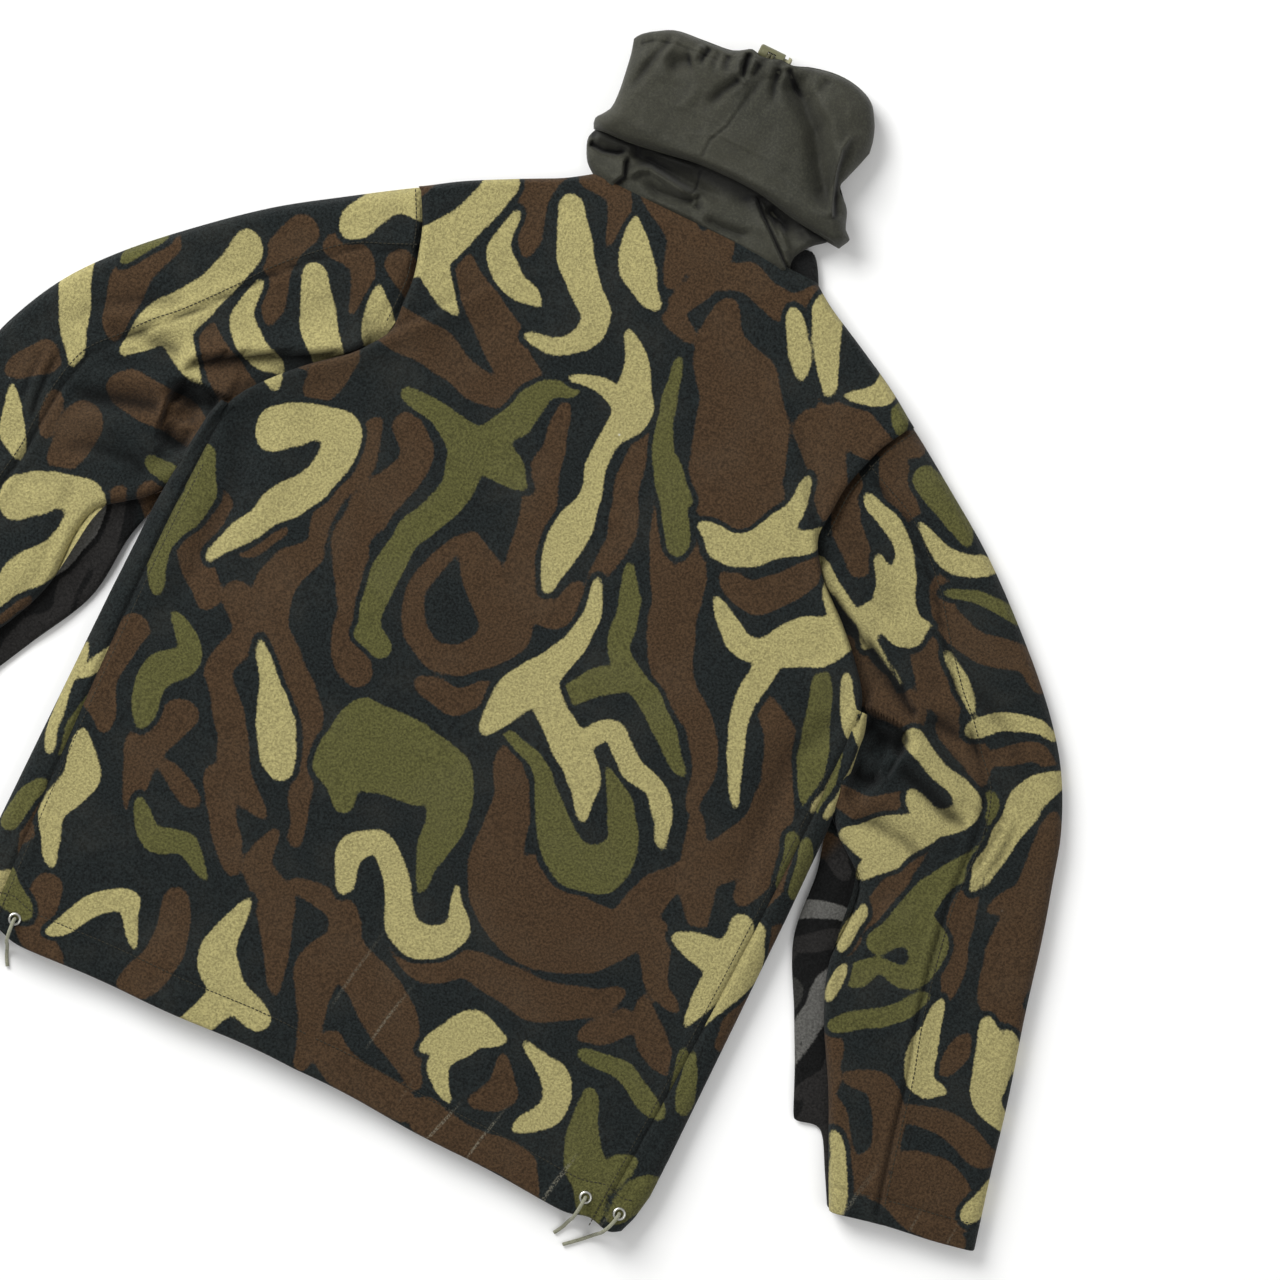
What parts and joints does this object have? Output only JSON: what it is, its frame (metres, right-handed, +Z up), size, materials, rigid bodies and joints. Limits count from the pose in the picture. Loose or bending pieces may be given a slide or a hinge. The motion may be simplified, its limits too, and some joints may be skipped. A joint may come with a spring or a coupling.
{
  "type": "fleece pullover with face mask",
  "caption": "Camouflage fleece pullover lying flat, back up, with a built-in drawcord nylon face mask, folding sleeves, hem cord tunnels and eyelets.",
  "frame": {"origin": "on the resting face of the front panel, in the middle of the body", "axes": "+X to the sleeve on the wearer's right as the back is seen from above, +Y from hem to neck, +Z up out of the back panel"},
  "size_m": [1.024, 0.8745, 0.044],
  "materials": {
    "camo_fleece": "soft brushed fleece with a printed woodland camouflage",
    "lining": "plain black brushed fleece, the reverse of the shell",
    "mask_nylon": "dark olive nylon, slightly glossy on its folds",
    "cord": "pale grey-green braided cord",
    "elastic": "round braided elastic cord",
    "eyelet_metal": "nickel-plated, slightly worn",
    "lock_plastic": "moulded olive-beige plastic",
    "spring_steel": "bright spring wire"
  },
  "bodies": {
    "garment": {"back_panel": "camo_fleece", "front_panel": "camo_fleece", "neck_tape": "lining", "hem_casing_back": "camo_fleece", "hem_casing_front": "camo_fleece", "hem_cord_back": "cord", "hem_cord_front": "cord", "hem_cord_end_back_right": "cord", "hem_cord_end_back_left": "cord", "hem_cord_end_front_right": "cord", "hem_cord_end_front_left": "cord", "hem_eyelet_back_right": "eyelet_metal", "hem_eyelet_back_left": "eyelet_metal", "hem_eyelet_front_right": "eyelet_metal", "hem_eyelet_front_left": "eyelet_metal"},
    "sleeve_left": {"sleeve_upper_left": "camo_fleece", "sleeve_under_left": "camo_fleece", "cuff_facing_left": "lining"},
    "sleeve_right": {"sleeve_upper_right": "camo_fleece", "sleeve_under_right": "camo_fleece", "cuff_facing_right": "lining"},
    "mask_base": {"mask_neck_section": "mask_nylon"},
    "mask_roll": {"mask_face_right": "mask_nylon", "mask_face_left": "mask_nylon", "mask_cord_casing": "mask_nylon", "mask_cord_patch": "mask_nylon", "mask_elastic": "elastic", "mask_cord_end": "lock_plastic"},
    "cord_lock": {"cord_lock_body": "lock_plastic", "cord_lock_spring": "spring_steel"},
    "cord_lock_button": {"cord_lock_plunger": "lock_plastic"}
  },
  "joints": [
    {"name": "sleeve_fold_right", "type": "hinge", "parent": "garment", "child": "sleeve_right", "pos_m": [0.281, -0.02, 0.024], "axis": [0.2441, -0.9698, 0], "range_deg": [0, 168]},
    {"name": "sleeve_fold_left", "type": "hinge", "parent": "garment", "child": "sleeve_left", "pos_m": [-0.281, -0.02, 0.024], "axis": [0.2441, 0.9698, 0], "range_deg": [0, 168]},
    {"name": "mask_fold", "type": "hinge", "parent": "garment", "child": "mask_base", "pos_m": [0, 0.338, 0.024], "axis": [1, 0, 0], "range_deg": [0, 120]},
    {"name": "mask_raise", "type": "slide", "parent": "mask_base", "child": "mask_roll", "axis": [0, 1, 0], "range_m": [0, 0.026]},
    {"name": "cord_lock_slide", "type": "slide", "parent": "mask_roll", "child": "cord_lock", "axis": [0, 0, -1], "range_m": [0, 0.007]},
    {"name": "cord_lock_press", "type": "slide", "parent": "cord_lock", "child": "cord_lock_button", "axis": [-1, 0, 0], "range_m": [0, 0.0025], "stiffness_N_per_m": 800, "springref_m": -0.004, "deforming": ["cord_lock_spring"]}
  ]
}
